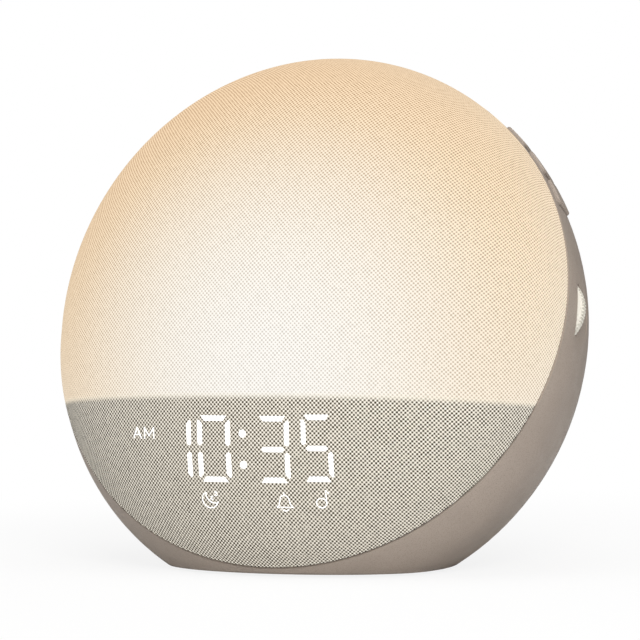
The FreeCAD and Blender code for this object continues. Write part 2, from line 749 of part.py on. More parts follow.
def make_dial():
    x, y = dial_place()
    wheel = cylinder(SEAM, x, y, DIAL_BOTTOM, DIAL_TOP, DIAL_RADIUS - DIAL_TOOTH)
    edge = 0.5
    teeth = []
    width = math.pi * DIAL_RADIUS / DIAL_TEETH
    for number in range(DIAL_TEETH):
        angle = 360.0 * number / DIAL_TEETH
        frame = Placement(SEAM)
        frame.Base = SEAM.multVec(Vector(x, y, 0))
        frame.Rotation = SEAM.Rotation.multiply(Rotation(Vector(0, 0, 1), angle))
        teeth.append(
            box(frame, DIAL_RADIUS - 2, DIAL_RADIUS, -width / 2, width / 2,
                DIAL_BOTTOM + edge, DIAL_TOP - edge)
        )
    wheel = wheel.fuse(teeth)
    bore = cylinder(SEAM, x, y, DIAL_BOTTOM - 5, DIAL_TOP + 5, DIAL_SHAFT_RADIUS)
    ring = cylinder(SEAM, x, y, DIAL_TOP - 0.7, DIAL_TOP + 1, DIAL_RADIUS - 3.0)
    ring = ring.cut(cylinder(SEAM, x, y, DIAL_TOP - 2, DIAL_TOP + 2, DIAL_HUB_RADIUS))
    PARTS["dial_wheel"] = wheel.cut([bore, ring])
    shaft_top = WEB_BACK + 1.2
    PARTS["dial_shaft"] = cylinder(SEAM, x, y, ENCODER_BOTTOM + 1.5, shaft_top, DIAL_SHAFT_RADIUS)
    encoder = block(SEAM, x, y, ENCODER_SIZE, ENCODER_SIZE, ENCODER_BOTTOM, ENCODER_TOP)
    socket = cylinder(
        SEAM, x, y, ENCODER_BOTTOM + 1.2, ENCODER_TOP + 1, DIAL_SHAFT_RADIUS + SHAFT_EASE
    )
    PARTS["dial_encoder"] = encoder.cut(socket)
    low = ENCODER_BOTTOM - BOARD_THICK
    left = x - DIAL_POST_REACH - 5.0
    right = x + ENCODER_SIZE / 2 + 0.5
    tongue = box(SEAM, left, right, y - 6.5, y + 6.5, low, ENCODER_BOTTOM)
    plate = box(SEAM, left, left + 10, y - 13, y + 13, low, ENCODER_BOTTOM)
    PARTS["encoder_board"] = union(tongue, plate).cut(
        [screw_hole(SEAM, a, b, low - 1, ENCODER_BOTTOM + 1) for a, b in dial_posts()]
    )
    posts = [cylinder(SEAM, a, b, ENCODER_BOTTOM, WEB_BACK, BOSS_RADIUS) for a, b in dial_posts()]
    bridge = box(
        SEAM, x - DIAL_POST_REACH - 2, x - DIAL_POST_REACH + 2, y - 9, y + 9,
        ENCODER_BOTTOM, ENCODER_BOTTOM + 3,
    )
    holes = [
        screw_hole(SEAM, a, b, ENCODER_BOTTOM - 1, WEB_BACK + 1) for a, b in dial_posts()
    ]
    PARTS["dial_bracket"] = union(posts[0], posts[1], bridge).cut(holes)
    PARTS["dial_bracket_screws"] = group(
        screw(SEAM, a, b, low, WEB_FRONT - 0.5 - low) for a, b in dial_posts()
    )


# Buttons
FLANGE_TOP = WALL + LIFT
FLANGE_BOTTOM = FLANGE_TOP + FLANGE_WALL
STEM_TIP = FLANGE_BOTTOM + STEM_LENGTH
SWITCH_TOP = STEM_TIP + PLUNGER_RISE
SWITCH_BOTTOM = SWITCH_TOP + SWITCH_HEIGHT
FLEX_BOTTOM = SWITCH_BOTTOM + FLEX_THICK
BUTTON_DEEP = FLEX_BOTTOM + BRACKET_WALL
BUTTON_HEIGHT = SEAM_OFFSET - BUTTON_START - BUTTON_WIDTH / 2
FOOT_REACH = 12.0


def button_frame(angle):
    return side_frame(angle, BUTTON_HEIGHT)


def button_window(angle):
    return rounded_block(
        button_frame(angle), 0, 0, BUTTON_LENGTH + 2 * EASE, BUTTON_WIDTH + 2 * EASE,
        BUTTON_CORNER + EASE, -WALL - 4, 6,
    )


def button_cap(angle):
    frame = button_frame(angle)
    shaft = rounded_block(
        frame, 0, 0, BUTTON_LENGTH, BUTTON_WIDTH, BUTTON_CORNER, -FLANGE_BOTTOM - 2, 0.3
    )
    low = rounded_outline(BUTTON_LENGTH, BUTTON_WIDTH, BUTTON_CORNER, 0.3)
    rise = 2 * BUTTON_RISE
    inward = 2 * BUTTON_SLOPE * rise / BUTTON_RISE
    high = rounded_outline(
        BUTTON_LENGTH - inward, BUTTON_WIDTH - inward, BUTTON_CORNER / 2, 0.3 + rise
    )
    crown = Part.makeLoft([low, high], True, True)
    crown.Placement = frame
    cap = shaft.fuse(crown).common(body(-BUTTON_RISE)).cut(body(FLANGE_BOTTOM))
    flange = rounded_block(
        frame, 0, 0, BUTTON_LENGTH + 2 * FLANGE_OVERLAP, BUTTON_WIDTH + 2 * FLANGE_OVERLAP,
        BUTTON_CORNER, -FLANGE_BOTTOM - 2, 0,
    )
    flange = flange.common(skin(FLANGE_TOP, FLANGE_BOTTOM))
    stem = cylinder(frame, 0, 0, -STEM_TIP, -FLANGE_BOTTOM + 0.8, STEM_RADIUS)
    return union(cap, flange, stem)


def bracket_fixings():
    places = []
    for angle in (BUTTON_ANGLES[0], BUTTON_ANGLES[-1]):
        turn = math.radians(angle)
        reach = side_radius(angle, 0) - BUTTON_DEEP - FOOT_REACH / 2
        places.append((reach * math.cos(turn), reach * math.sin(turn)))
    return places


def make_buttons():
    plates = []
    films = []
    switches = []
    for number, angle in enumerate(BUTTON_ANGLES, 1):
        frame = button_frame(angle)
        PARTS[f"button_{number}"] = button_cap(angle)
        PARTS[f"switch_plunger_{number}"] = cylinder(
            frame, 0, 0, -SWITCH_TOP - PLUNGER_SUNK, -STEM_TIP, PLUNGER_RADIUS
        )
        well = cylinder(
            frame, 0, 0, -SWITCH_TOP - PLUNGER_SUNK - BUTTON_TRAVEL - LIFT, -SWITCH_TOP + 1,
            PLUNGER_RADIUS + SHAFT_EASE,
        )
        switches.append(
            block(frame, 0, 0, SWITCH_SIZE, SWITCH_SIZE, -SWITCH_BOTTOM, -SWITCH_TOP).cut(well)
        )
        films.append(block(frame, 0, 0, 13.2, BUTTON_WIDTH, -FLEX_BOTTOM, -SWITCH_BOTTOM))
        plates.append(block(frame, 0, 0, 13.2, BUTTON_WIDTH, -BUTTON_DEEP, -FLEX_BOTTOM))
    PARTS["button_switches"] = group(switches)
    PARTS["button_flex"] = union(films[0], films[1], films[2]).cut(plates)
    back = union(plates[0], plates[1], plates[2])
    foot_top = WEB_BACK
    feet = []
    for x, y in bracket_fixings():
        foot = cylinder(SEAM, x, y, foot_top - 3.0, foot_top, FOOT_REACH / 2 + 2.5)
        feet.append(foot)
    limit = body(FLEX_BOTTOM + 0.6)
    bracket = union(back, *[f.common(limit) for f in feet])
    holes = [screw_hole(SEAM, x, y, foot_top - 4, foot_top + 1) for x, y in bracket_fixings()]
    PARTS["button_bracket"] = bracket.cut(holes)
    PARTS["button_bracket_screws"] = group(
        screw(SEAM, x, y, foot_top - 3.0, 5.0) for x, y in bracket_fixings()
    )


# Casing
FLOOR_TOP = BASE_GAP + FLOOR_WALL
BACK_INSIDE = WALL - BACK_DEPTH
SEAT_FACE = BACK_INSIDE + SPEAKER_SEAT
GASKET_FACE = SEAT_FACE + GASKET_THICK
FLANGE_FACE = GASKET_FACE + FLANGE_THICK
SPEAKER_SCREW_REACH = SPEAKER_RADIUS + 3.4
RECESS_DEPTH = 5.0
RECESS_WALL = 1.6
RECESS_FLOOR = RECESS_DEPTH - BACK_DEPTH
INLET_BACK = RECESS_FLOOR + RECESS_WALL
POST_HEAD = WEB_FRONT - SHELL_SCREW_LENGTH


def speaker_screw_places():
    places = []
    for angle in (45, 135, 225, 315):
        turn = math.radians(angle)
        places.append((
            SPEAKER_SCREW_REACH * math.cos(turn),
            SPEAKER_Y + SPEAKER_SCREW_REACH * math.sin(turn),
        ))
    return places


INLET_POSTS = ((8.5, INLET_Y + 6.5), (-8.5, INLET_Y + 6.5))


def grille_slots():
    slots = []
    rows = int(GRILLE_RADIUS // GRILLE_PITCH)
    for row in range(-rows, rows + 1):
        y = row * GRILLE_PITCH
        length = 2 * math.sqrt(GRILLE_RADIUS ** 2 - y ** 2) + GRILLE_SLOT
        slots.append(
            rounded_block(BODY, 0, SPEAKER_Y + y, length, GRILLE_SLOT, GRILLE_SLOT / 2 - 0.01,
                          -BACK_DEPTH - 1, SEAT_FACE + 1)
        )
    return slots


def shell_posts():
    """Long posts that take the casing's screws, and the bores inside them."""
    posts = []
    bores = []
    for x, y in SHELL_POSTS:
        posts.append(cylinder(SEAM, x, y, -FAR, WEB_BACK, SHELL_POST_RADIUS))
        bores.append(cylinder(SEAM, x, y, -FAR, POST_HEAD, SHELL_POST_RADIUS - SHELL_POST_WALL))
        bores.append(screw_hole(SEAM, x, y, POST_HEAD - 1, WEB_BACK + 1))
    return posts, bores


def make_casing():
    outer = body(0).common(slab(TABLE, BASE_GAP, FAR))
    if BASE_EDGE > 0:
        rims = [e for e in outer.Edges if e.BoundBox.ZMax < BASE_GAP + 0.1]
        outer = outer.makeFillet(BASE_EDGE, rims)
    inner = body(WALL).common(slab(TABLE, FLOOR_TOP, FAR))
    slot, scoop, backing = dial_cuts()
    casing = outer.cut(inner)
    posts, bores = shell_posts()
    limit = body(WALL / 2)
    additions = [p.common(limit) for p in posts]
    additions.append(backing.common(limit))
    seat = cylinder(BODY, 0, SPEAKER_Y, -BACK_DEPTH + 1, SEAT_FACE, SPEAKER_SCREW_REACH + 4)
    additions.append(seat)
    width, height = PLUG_RECESS
    additions.append(
        rounded_block(BODY, 0, INLET_Y, width + 2 * RECESS_WALL, height + 2 * RECESS_WALL, 3.0,
                      -BACK_DEPTH + 1, INLET_BACK)
    )
    for x, y in INLET_POSTS:
        additions.append(cylinder(BODY, x, y, -BACK_DEPTH + 1, INLET_BACK, 2.8))
    casing = union(casing, *additions).common(slab(SEAM, -FAR, CASING_END))
    cuts = [slot, scoop] + bores + grille_slots()
    cuts.append(rounded_block(BODY, 0, INLET_Y, width, height, 2.0, -FAR, RECESS_FLOOR))
    opening = SOCKET_OUTER[1] + 2 * SEAT_GAP
    cuts.append(
        rounded_block(BODY, 0, INLET_Y, SOCKET_OUTER[0] + 2 * SEAT_GAP, opening,
                      opening / 2 - 0.01, -FAR, INLET_BACK + 1)
    )
    cuts += [screw_hole(BODY, x, y, INLET_BACK - 4, INLET_BACK + 1) for x, y in INLET_POSTS]
    cuts += [
        screw_hole(BODY, x, y, SEAT_FACE - 3.5, SEAT_FACE + 1)
        for x, y in speaker_screw_places()
    ]
    cuts += [button_window(angle) for angle in BUTTON_ANGLES]
    cuts.append(foot_prism(0, FOOT_THICK, 0.0))
    PARTS["rear_casing"] = casing.cut(cuts)
    PARTS["casing_screws"] = group(
        screw(SEAM, x, y, POST_HEAD, SHELL_SCREW_LENGTH - 0.5) for x, y in SHELL_POSTS
    )
    PARTS["foot_pad"] = foot_prism(0, FOOT_THICK, SKIN_GAP)


def foot_prism(z0, z1, inset):
    curve = Part.Ellipse(Vector(0, 0, z0), FOOT_LENGTH / 2 - inset, FOOT_WIDTH / 2 - inset)
    return Part.Face(Part.Wire(curve.toShape())).extrude(Vector(0, 0, z1 - z0))


# Electronics
def make_board():
    x, y = MAIN_BOARD
    front = BOARD_FACE
    back = BOARD_FACE - BOARD_THICK
    plate = block(SEAM, 0, MAIN_BOARD_Y, x, y, back, front)
    holes = [screw_hole(SEAM, a, b, back - 1, front + 1) for a, b in MAIN_SCREWS]
    PARTS["main_board"] = plate.cut(holes)
    PARTS["main_board_screws"] = group(
        screw(SEAM, a, b, back, BOARD_THICK + 6.0) for a, b in MAIN_SCREWS
    )
    width, height, thick = CAN_SIZE
    can = rounded_block(SEAM, CAN_PLACE[0], CAN_PLACE[1], width, height, 1.0, back - thick, back)
    hollow = rounded_block(
        SEAM, CAN_PLACE[0], CAN_PLACE[1], width - 0.6, height - 0.6, 0.8, back - thick + 0.3, back
    )
    PARTS["radio_shield"] = can.cut(hollow)
    PARTS["board_chips"] = group((
        block(SEAM, CAN_PLACE[0], CAN_PLACE[1], 10, 10, back - 1.2, back),
        block(SEAM, CAN_PLACE[0], MAIN_BOARD_Y - 7, 12, 12, back - 1.4, back),
    ))
    PARTS["capacitors"] = group(
        cylinder(SEAM, a, MAIN_BOARD_Y - 13, back - CAPACITOR_HEIGHT, back, CAPACITOR_RADIUS)
        for a in (-30.0, -21.0, -12.0)
    )
    cell_x = -19.0
    cell_y = MAIN_BOARD_Y + 14
    base = cylinder(SEAM, cell_x, cell_y, back - 1.0, back, CELL_RADIUS + 1.5)
    wall = cylinder(SEAM, cell_x, cell_y, back - 1.0 - CELL_THICK, back, CELL_RADIUS + 1.5)
    wall = wall.cut(cylinder(SEAM, cell_x, cell_y, back - 9, back + 1, CELL_RADIUS + SEAT_GAP))
    mouth = block(SEAM, cell_x, cell_y - 9, 26, 12, back - 9, back - 1.0)
    PARTS["cell_holder"] = union(base, wall.cut(mouth))
    PARTS["backup_cell"] = cylinder(
        SEAM, cell_x, cell_y, back - 1.0 - CELL_THICK, back - 1.0, CELL_RADIUS
    )
    deep, wide, tall = SOCKET_SIZE
    across, along = LINK_SIZE
    PARTS["light_link"] = block(
        SEAM, LINK_PLACE[0], LINK_PLACE[1], across, along, front, WEB_FRONT
    )
    PARTS["board_sockets"] = group(
        block(SEAM, a, b, deep, wide, back - tall, back) for a, b in BOARD_SOCKETS
    )


CAN_PLACE = (11.0, MAIN_BOARD_Y + 14)
DIAL_LINE = dial_place()[1]
BOARD_SOCKETS = (
    (0.0, MAIN_BOARD_Y - 22), (-33.0, MAIN_BOARD_Y), (DISPLAY_LEAD_X, MAIN_BOARD_Y - 22),
    (33.0, DIAL_LINE), (33.0, DIAL_LINE + 12),
)


def make_speaker():
    y = SPEAKER_Y
    ring = cylinder(BODY, 0, y, SEAT_FACE, GASKET_FACE, SPEAKER_RADIUS)
    mouth = cylinder(BODY, 0, y, SEAT_FACE - 1, FLANGE_FACE + 1, CONE_RADIUS + 2.0)
    PARTS["speaker_gasket"] = ring.cut(mouth)
    ears = [
        cylinder(BODY, a, b, GASKET_FACE, FLANGE_FACE, 3.6) for a, b in speaker_screw_places()
    ]
    flange = cylinder(BODY, 0, y, GASKET_FACE, FLANGE_FACE, SPEAKER_RADIUS)
    basket_top = FLANGE_FACE + BASKET_DEPTH
    outer = cone(BODY, 0, y, FLANGE_FACE, basket_top, CONE_RADIUS + 4, MAGNET_RADIUS - 1)
    inner = cone(
        BODY, 0, y, FLANGE_FACE, basket_top - 1.2, CONE_RADIUS + 2.8, MAGNET_RADIUS - 2
    )
    basket = union(flange.cut(mouth), outer.cut(inner), *ears).cut(
        cylinder(BODY, 0, y, FLANGE_FACE - 5, FLANGE_FACE + 0.01, CONE_RADIUS + 2.0)
    )
    windows = []
    for number in range(6):
        frame = Placement(BODY)
        frame.Base = BODY.multVec(Vector(0, y, 0))
        frame.Rotation = BODY.Rotation.multiply(Rotation(Vector(0, 0, 1), 60.0 * number))
        windows.append(box(frame, 12, 40, -6, 6, FLANGE_FACE + 2.0, basket_top - 2.4))
    ear_holes = [
        screw_hole(BODY, a, b, GASKET_FACE - 1, FLANGE_FACE + 1)
        for a, b in speaker_screw_places()
    ]
    PARTS["speaker_basket"] = basket.cut(windows + ear_holes)
    magnet = cylinder(BODY, 0, y, basket_top, basket_top + MAGNET_DEPTH, MAGNET_RADIUS)
    PARTS["speaker_magnet"] = magnet
    low = GASKET_FACE + 0.2
    PARTS["speaker_surround"] = cylinder(
        BODY, 0, y, low, low + 0.8, CONE_RADIUS + 2.0
    ).cut(cylinder(BODY, 0, y, low - 1, low + 2, CONE_RADIUS - 1.5))
    sheet = 0.6
    rise = 7.0
    outside = cone(BODY, 0, y, low + 0.8, low + 0.8 + rise, CONE_RADIUS, DUST_CAP_RADIUS)
    hollow = cone(
        BODY, 0, y, low + 0.8 - sheet, low + 0.8 + rise - sheet, CONE_RADIUS, DUST_CAP_RADIUS
    )
    PARTS["speaker_cone"] = outside.cut(hollow)
    coil_low = low + 0.8 + rise
    coil = cylinder(BODY, 0, y, coil_low, basket_top - 1.4, DUST_CAP_RADIUS)
    PARTS["voice_coil"] = coil.cut(
        cylinder(BODY, 0, y, coil_low - 1, basket_top, DUST_CAP_RADIUS - 0.8)
    )
    PARTS["speaker_screws"] = group(
        screw(BODY, a, b, FLANGE_FACE, FLANGE_FACE - SEAT_FACE + 3.0, -1.0)
        for a, b in speaker_screw_places()
    )


def make_inlet():
    board_low = INLET_BACK
    board_high = INLET_BACK + BOARD_THICK
    width, height = INLET_BOARD
    y = INLET_Y + 1.0
    gap = SOCKET_OUTER[1] + 2 * SEAT_GAP
    slot = rounded_block(
        BODY, 0, INLET_Y, SOCKET_OUTER[0] + 2 * SEAT_GAP, gap, gap / 2 - 0.01,
        board_low - 1, board_high + 1,
    )
    holes = [screw_hole(BODY, a, b, board_low - 1, board_high + 1) for a, b in INLET_POSTS]
    PARTS["inlet_board"] = block(BODY, 0, y, width, height, board_low, board_high).cut(
        holes + [slot]
    )
    end = RECESS_FLOOR + SOCKET_DEPTH
    outer = rounded_block(
        BODY, 0, INLET_Y, SOCKET_OUTER[0], SOCKET_OUTER[1], SOCKET_OUTER[1] / 2 - 0.01,
        RECESS_FLOOR, end,
    )
    inner = rounded_block(
        BODY, 0, INLET_Y, SOCKET_INNER[0], SOCKET_INNER[1], SOCKET_INNER[1] / 2 - 0.01,
        RECESS_FLOOR - 1, end - 0.8,
    )
    PARTS["inlet_socket"] = outer.cut(inner)
    across, thick, long = TONGUE
    PARTS["inlet_tongue"] = block(
        BODY, 0, INLET_Y, across, thick, end - 0.8 - long, end - 0.8
    )
    PARTS["inlet_screws"] = group(
        screw(BODY, a, b, board_high, BOARD_THICK + 3.5, -1.0) for a, b in INLET_POSTS
    )


def make_leads():
    low = BOARD_FACE - BOARD_THICK - SOCKET_SIZE[2]
    axis = SEAM.Rotation.multVec(Vector(0, 0, 1))
    ends = [at(SEAM, x, y, low) for x, y in BOARD_SOCKETS]
    start = at(BODY, 0, INLET_Y - 4.5, INLET_BACK + BOARD_THICK)
    PARTS["inlet_lead"] = lead([
        start, at(BODY, 0, INLET_Y - 4.5, INLET_BACK + 12), ends[0] - axis * 12, ends[0],
    ])
    basket_top = FLANGE_FACE + BASKET_DEPTH
    start = at(BODY, -MAGNET_RADIUS, SPEAKER_Y, basket_top + 3.0)
    PARTS["speaker_lead"] = lead([
        start, start - Vector(10, 0, 0), ends[1] - axis * 9, ends[1],
    ])
    slot = at(SEAM, DISPLAY_LEAD_X, DISPLAY_LEAD_Y, (WEB_FRONT + WEB_BACK) / 2)
    PARTS["display_lead"] = lead([
        Vector(slot.x, -BOARD_BACK, slot.z), Vector(slot.x, 12, slot.z),
        ends[2] - axis * 12, ends[2],
    ])
    side = BOARD_SOCKETS[3][0] + SOCKET_SIZE[0] / 2
    board_end = dial_place()[0] - DIAL_POST_REACH - 5.0
    level = ENCODER_BOTTOM - BOARD_THICK / 2
    PARTS["dial_lead"] = lead([
        at(SEAM, board_end, DIAL_LINE, level), at(SEAM, side, DIAL_LINE, level),
    ], LEAD_RADIUS * 0.8)
    frame = button_frame(BUTTON_ANGLES[-1])
    depth = -(SWITCH_BOTTOM + FLEX_BOTTOM) / 2
    start = at(frame, -6.6, -4, depth)
    PARTS["button_lead"] = lead([
        start, at(frame, -16, -4, depth), ends[4] - axis * 9, ends[4],
    ])


def write_parts():
    os.makedirs("parts", exist_ok=True)
    for name, shape in PARTS.items():
        shape.exportStep(f"parts/{name}.step")


make_front()
make_display()
make_light()
make_chassis()
make_dial()
make_buttons()
make_casing()
make_board()
make_speaker()
make_inlet()
make_leads()
write_parts()
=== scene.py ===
"""Looks of the sunrise alarm clock: knit, glow, lit digits, casing, dial and studio.

Lengths are in metres, in the frame of the CAD.
"""
import json
import math

import bmesh
import bpy
from mathutils import Matrix, Vector


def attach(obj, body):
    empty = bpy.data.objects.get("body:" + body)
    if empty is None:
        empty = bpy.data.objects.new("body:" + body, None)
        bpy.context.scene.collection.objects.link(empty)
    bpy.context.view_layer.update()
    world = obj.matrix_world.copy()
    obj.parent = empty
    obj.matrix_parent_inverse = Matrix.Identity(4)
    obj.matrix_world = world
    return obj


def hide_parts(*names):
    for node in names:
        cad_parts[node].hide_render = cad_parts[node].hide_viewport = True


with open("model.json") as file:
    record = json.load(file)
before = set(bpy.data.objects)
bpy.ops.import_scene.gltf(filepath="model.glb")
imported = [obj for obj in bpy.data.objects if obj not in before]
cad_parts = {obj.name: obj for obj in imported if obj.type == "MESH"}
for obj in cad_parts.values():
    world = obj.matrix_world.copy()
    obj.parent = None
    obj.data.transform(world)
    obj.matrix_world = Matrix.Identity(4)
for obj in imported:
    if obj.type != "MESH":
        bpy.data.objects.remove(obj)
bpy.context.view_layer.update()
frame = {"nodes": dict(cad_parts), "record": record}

# Body form, as in the CAD
RADIUS = 0.096
DEPTH = 0.047
SIDE_CURVE = 0.082
CENTRE = Vector((0, 0, 0.0816))
BODY_LEAN = math.radians(13.4)
SEAM_LEAN = math.radians(22.1)
SEAM_OFFSET = 0.008
HEM_WIDTH = 0.0042
EDGE_ROUND = 0.0007
BAFFLE_HEIGHT = 0.0613
BAFFLE_REACH = 0.0492
BAFFLE_SLOPE = math.radians(8.0)
DISPLAY_X = -0.0036
DISPLAY_Z = 0.0435

BODY_UP = Vector((0, math.sin(BODY_LEAN), math.cos(BODY_LEAN)))
BODY_OUT = Vector((0, -math.cos(BODY_LEAN), math.sin(BODY_LEAN)))
SEAM_UP = Vector((0, math.sin(SEAM_LEAN), math.cos(SEAM_LEAN)))
SEAM_OUT = Vector((0, -math.cos(SEAM_LEAN), math.sin(SEAM_LEAN)))
ACROSS = Vector((1, 0, 0))

# Knit lattice, with its pitches at the middle of the face
KNIT_ACROSS = 0.001427
KNIT_ALONG = 0.001419
KNIT_TILT = math.radians(14.7)
KNIT_STRAY = 1.3            # how far the threads stray, in radians of the lattice
KNIT_UNEVEN = 0.9           # how uneven the holes are
FACE_SPREAD = 0.05          # how far the dome's curve spreads the lattice over the face
RIM_SPREAD = 0.155          # the same close to the rim
RIM_SPREAD_POWER = 8.0

# Cover
COVER_THICK = 0.0006
COVER_TURNS = 288
COVER_RINGS = 64
EDGE_STEPS = 4
ROUND_CLEARANCE = 1.2 * EDGE_ROUND      # rings of the dome stop this far above the seam
HEM_SHARES = (0.5, 1.0)

# Lit part of the cover: brightness, and how warm it is by place on the face
GLOW_STRENGTH = 0.86
GLOW_FOOT = -0.32
WARM_RISE = 0.27
WARM_RISE_BEND = -0.06
WARM_ACROSS = -0.05
WARM_RIM = 0.50
WARM_RIM_BEND = -0.24
GLOW_RAMP = (
    (0.0, (0.905, 0.900, 0.880)),
    (0.15, (0.890, 0.830, 0.740)),
    (0.30, (0.865, 0.735, 0.575)),
    (0.45, (0.850, 0.635, 0.405)),
    (0.62, (0.830, 0.520, 0.250)),
)
WARM_RANGE = (0.02, 0.5)
FRINGE_GLOW = (0.93, 0.87, 0.70)
FRINGE_SHARE = 0.35

# Border between the lit and the unlit part, by height above the baffle's front edge
LIT_FROM = -0.0016
LIT_FULL = 0.0007
FRINGE_LOW = -0.0022
FRINGE_PEAK = -0.0004
FRINGE_HIGH = 0.0016

# Shares of the glow, cold and warm, in the holes and on the crossings of threads
GLOW_HOLE = ((0.73, 0.72, 0.71), (0.48, 0.385, 0.285))
GLOW_THREAD = (1.045, 1.045, 1.045)
GLOW_CROSSING = ((1.10, 1.12, 1.12), (1.15, 1.27, 1.34))

# Colours of the threads and of the holes between them
LIT_THREAD = (0.16, 0.15, 0.135)
LIT_HOLE = (0.10, 0.085, 0.07)
UNLIT_THREAD = ((0.60, 0.555, 0.475), (0.66, 0.615, 0.53))
UNLIT_CROSSING = (0.93, 0.89, 0.80)
UNLIT_HOLE = (0.046, 0.035, 0.018)


def surface_hit(start, way):
    """Where a line from start along way leaves the body: dome in front, side behind."""
    local = start - CENTRE
    for depth in (DEPTH, SIDE_CURVE):
        p = Vector((local.x / RADIUS, local.dot(BODY_UP) / RADIUS, local.dot(BODY_OUT) / depth))
        d = Vector((way.x / RADIUS, way.dot(BODY_UP) / RADIUS, way.dot(BODY_OUT) / depth))
        a = d.dot(d)
        b = p.dot(d)
        c = p.dot(p) - 1
        square = b * b - a * c
        if square < 0:
            continue
        hit = start + way * ((math.sqrt(square) - b) / a)
        if (hit - CENTRE).dot(BODY_OUT) >= 0:
            break
    return hit


def surface_normal(point):
    local = point - CENTRE
    out = local.dot(BODY_OUT)
    depth = DEPTH if out >= 0 else SIDE_CURVE
    steep = ACROSS * (local.x / RADIUS ** 2)
    steep += BODY_UP * (local.dot(BODY_UP) / RADIUS ** 2)
    steep += BODY_OUT * (out / depth ** 2)
    return steep.normalized()


def link(name, mesh):
    obj = bpy.data.objects.new(name, mesh)
    bpy.context.scene.collection.objects.link(obj)
    return obj


def object_from(name, mesh):
    """Object from a finished bmesh, which is freed."""
    data = bpy.data.meshes.new(name)
    mesh.to_mesh(data)
    mesh.free()
    return link(name, data)


def thicken(obj, thickness, offset):
    shell = obj.modifiers.new("thickness", "SOLIDIFY")
    shell.thickness = thickness
    shell.offset = offset


def smooth(obj):
    for face in obj.data.polygons:
        face.use_smooth = True


# Node trees
class Tree:
    """Short calls for building one material's nodes."""

    def __init__(self, name):
        self.material = bpy.data.materials.new(name)
        self.material.use_nodes = True
        self.tree = self.material.node_tree
        self.shader = self.tree.nodes["Principled BSDF"]
        self.place = self.tree.nodes.new("ShaderNodeTexCoord").outputs["Object"]

    def new(self, kind, **settings):
        node = self.tree.nodes.new(kind)
        for key, value in settings.items():
            setattr(node, key, value)
        return node

    def feed(self, socket, value):
        if isinstance(value, bpy.types.NodeSocket):
            self.tree.links.new(value, socket)
        else:
            socket.default_value = value

    def sum(self, kind, a, b=0.0, c=0.0, clamp=False):
        node = self.new("ShaderNodeMath", operation=kind, use_clamp=clamp)
        for socket, value in zip(node.inputs, (a, b, c)):
            self.feed(socket, value)
        return node.outputs[0]

    def along(self, way, origin=CENTRE):
        """Distance of the shaded point from origin along way."""
        moved = self.new("ShaderNodeVectorMath", operation="SUBTRACT")
        self.feed(moved.inputs[0], self.place)
        moved.inputs[1].default_value = origin
        dot = self.new("ShaderNodeVectorMath", operation="DOT_PRODUCT")
        self.feed(dot.inputs[0], moved.outputs[0])
        dot.inputs[1].default_value = way
        return dot.outputs["Value"]

    def span(self, value, low, high, out_low=0.0, out_high=1.0, soft=True):
        node = self.new("ShaderNodeMapRange")
        node.interpolation_type = "SMOOTHSTEP" if soft else "LINEAR"
        for key, number in zip((0, 1, 2, 3, 4), (value, low, high, out_low, out_high)):
            self.feed(node.inputs[key], number)
        return node.outputs[0]

    def blend(self, factor, a, b, kind="MIX"):
        node = self.new("ShaderNodeMix", data_type="RGBA", blend_type=kind)
        self.feed(node.inputs[0], factor)
        self.feed(node.inputs[6], a if isinstance(a, bpy.types.NodeSocket) else (*a, 1.0))
        self.feed(node.inputs[7], b if isinstance(b, bpy.types.NodeSocket) else (*b, 1.0))
        return node.outputs[2]

    def ramp(self, value, stops):
        node = self.new("ShaderNodeValToRGB")
        self.feed(node.inputs[0], value)
        ramp = node.color_ramp
        ramp.elements[0].position = stops[0][0]
        ramp.elements[0].color = (*stops[0][1], 1)
        ramp.elements[1].position = stops[-1][0]
        ramp.elements[1].color = (*stops[-1][1], 1)
        for position, colour in stops[1:-1]:
            ramp.elements.new(position).color = (*colour, 1)
        return node.outputs[0]

    def noise(self, scale, detail=3.0, rough=0.55):
        node = self.new("ShaderNodeTexNoise")
        self.feed(node.inputs["Vector"], self.place)
        node.inputs["Scale"].default_value = scale
        node.inputs["Detail"].default_value = detail
        node.inputs["Roughness"].default_value = rough
        return node.outputs["Fac"]

    def cells(self, scale):
        node = self.new("ShaderNodeTexVoronoi")
        self.feed(node.inputs["Vector"], self.place)
        node.inputs["Scale"].default_value = scale
        return node.outputs["Distance"]

    def bump(self, height, depth, strength=1.0):
        node = self.new("ShaderNodeBump")
        self.feed(node.inputs["Height"], height)
        node.inputs["Distance"].default_value = depth
        node.inputs["Strength"].default_value = strength
        self.tree.links.new(node.outputs[0], self.shader.inputs["Normal"])

    def set(self, **values):
        for key, value in values.items():
            self.feed(self.shader.inputs[key.replace("_", " ")], value)


def tint(colour, share):
    return tuple(min(1.0, c * share) for c in colour)


def moulded(name, colour, rough=0.5, grain=2600.0, depth=0.00003, cloud=0.06, specular=0.4):
    """Moulded plastic with a fine spark texture, faint clouding and handling marks; the low
    spots of the texture are darkened with painted shade.
    """
    t = Tree(name)
    fine = t.noise(grain, 2.0)
    broad = t.noise(55.0, 4.0)
    base = t.blend(t.span(broad, 0.3, 0.7), tint(colour, 1 - cloud), tint(colour, 1 + cloud))
    # painted shade: the pits of the spark texture, the low spots of the bump, are darkened in
    # colour
    pit_shade = t.span(fine, 0.34, 0.5)
    t.set(
        Base_Color=t.blend(pit_shade, tint(colour, 0.8), base),
        Roughness=t.span(t.noise(140.0, 3.0), 0.3, 0.7, rough - 0.05, rough + 0.07),
        Specular_IOR_Level=specular,
    )
    t.bump(fine, depth)
    return t.material


